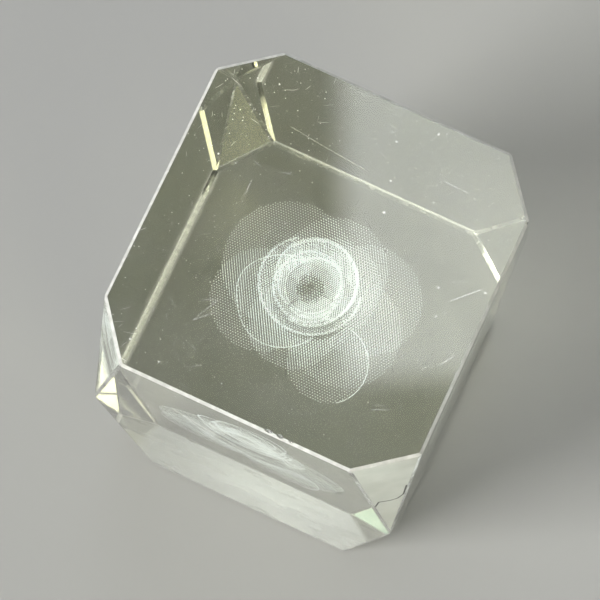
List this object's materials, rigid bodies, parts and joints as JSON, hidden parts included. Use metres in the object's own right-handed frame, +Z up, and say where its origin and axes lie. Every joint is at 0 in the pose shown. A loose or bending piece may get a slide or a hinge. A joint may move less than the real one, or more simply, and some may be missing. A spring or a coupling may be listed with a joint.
{
  "type": "crystal paperweight",
  "caption": "Upright clear crystal block with faceted corners and chamfered edges and a rose engraved inside it; it stands on its flat base and holds down paper.",
  "frame": {"origin": "centre of the base face, at the height of the surface that it stands on", "axes": "+Z up along the block's height, +X across its narrower width, +Y along its depth"},
  "size_m": [0.0486, 0.05, 0.08],
  "materials": {
    "crystal": "polished clear optical crystal, lightly scratched and dusty from use",
    "engraving": "white laser-engraved points inside the crystal"
  },
  "bodies": {
    "root": {"crystal_block": "crystal", "engraved_bud_petal_1": "engraving", "engraved_bud_petal_2": "engraving", "engraved_bud_petal_3": "engraving", "engraved_heart_petal_1": "engraving", "engraved_heart_petal_2": "engraving", "engraved_inner_petal_1": "engraving", "engraved_inner_petal_2": "engraving", "engraved_inner_petal_3": "engraving", "engraved_middle_petal_1": "engraving", "engraved_middle_petal_2": "engraving", "engraved_middle_petal_3": "engraving", "engraved_outer_petal_1": "engraving", "engraved_outer_petal_2": "engraving", "engraved_outer_petal_3": "engraving", "engraved_outer_petal_4": "engraving", "engraved_outer_petal_5": "engraving", "engraved_outer_petal_6": "engraving", "engraved_outer_petal_7": "engraving"}
  },
  "joints": []
}
